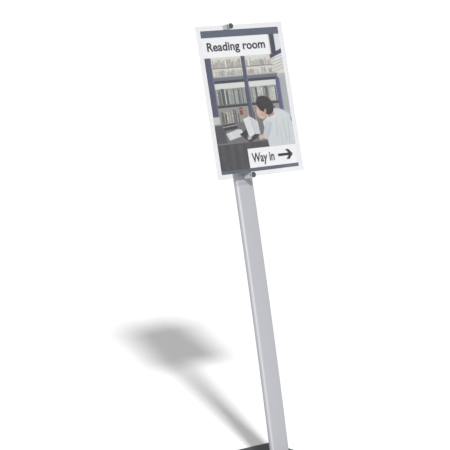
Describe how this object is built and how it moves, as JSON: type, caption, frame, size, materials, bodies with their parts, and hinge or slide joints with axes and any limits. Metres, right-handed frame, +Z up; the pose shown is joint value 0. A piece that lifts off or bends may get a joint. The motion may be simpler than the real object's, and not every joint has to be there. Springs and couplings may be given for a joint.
{
  "type": "sign stand",
  "caption": "Floor sign stand: flat steel foot, leaning aluminium post and a tilted poster held between clear sheets by a round clip at top and bottom.",
  "frame": {"origin": "middle of the floor pad's underside, on the floor", "axes": "+Z up, the front of the sign faces -Y, +X to the viewer's right"},
  "size_m": [0.3435, 0.3374, 1.2975],
  "materials": {
    "base_steel": "fine-textured charcoal powder coat",
    "post_aluminium": "satin anodised",
    "bar_aluminium": "satin anodised",
    "clip_metal": "turned and satin anodised",
    "clip_cap": "satin dark grey",
    "black_plastic": "matt moulded",
    "white_plastic": "plain moulded",
    "rubber": "matt non-slip sheet",
    "steel": "zinc plated",
    "acrylic": "clear polished acrylic",
    "poster": "matt printed poster"
  },
  "bodies": {
    "stand": {"floor_pad": "rubber", "base_plate": "base_steel", "foot_tenon": "steel", "base_screw_left": "steel", "base_screw_right": "steel", "post": "post_aluminium", "post_lock_screw_lower": "steel", "post_lock_screw_upper": "steel", "post_cap": "black_plastic", "backing_plate": "steel", "swivel_base": "post_aluminium", "swivel_screw_upper": "steel", "swivel_screw_lower": "steel", "stop_pin": "steel", "pivot_bolt": "steel", "pivot_washer": "steel", "pivot_nut": "steel"},
    "head": {"friction_washer": "white_plastic", "holder_bar": "bar_aluminium", "disc_spring": "steel", "clip_body_bottom": "clip_metal", "clip_cap_bottom": "clip_cap", "clip_screw_bottom": "steel", "guide_screw_upper": "steel", "guide_screw_lower": "steel", "spring_anchor": "steel", "clip_spring": "steel"},
    "top_clip": {"clip_slider": "bar_aluminium", "clip_body_top": "clip_metal", "clip_cap_top": "clip_cap", "clip_screw_top": "steel"},
    "sheets": {"front_sheet": "acrylic", "print_sheet": "poster", "back_sheet": "acrylic"}
  },
  "joints": [
    {"name": "head_turn", "type": "hinge", "parent": "stand", "child": "head", "pos_m": [0, 0.15793, 1.06411], "axis": [0, -0.9716, 0.2366], "range_deg": [0, 90]},
    {"name": "clip_lift", "type": "slide", "parent": "head", "child": "top_clip", "axis": [0, 0.2366, 0.9716], "range_m": [0, 0.014], "stiffness_N_per_m": 600, "springref_m": -0.025, "deforming": ["clip_spring"]},
    {"name": "sheets_slide", "type": "slide", "parent": "head", "child": "sheets", "axis": [1, 0, 0], "range_m": [-0.1, 0.05]}
  ]
}
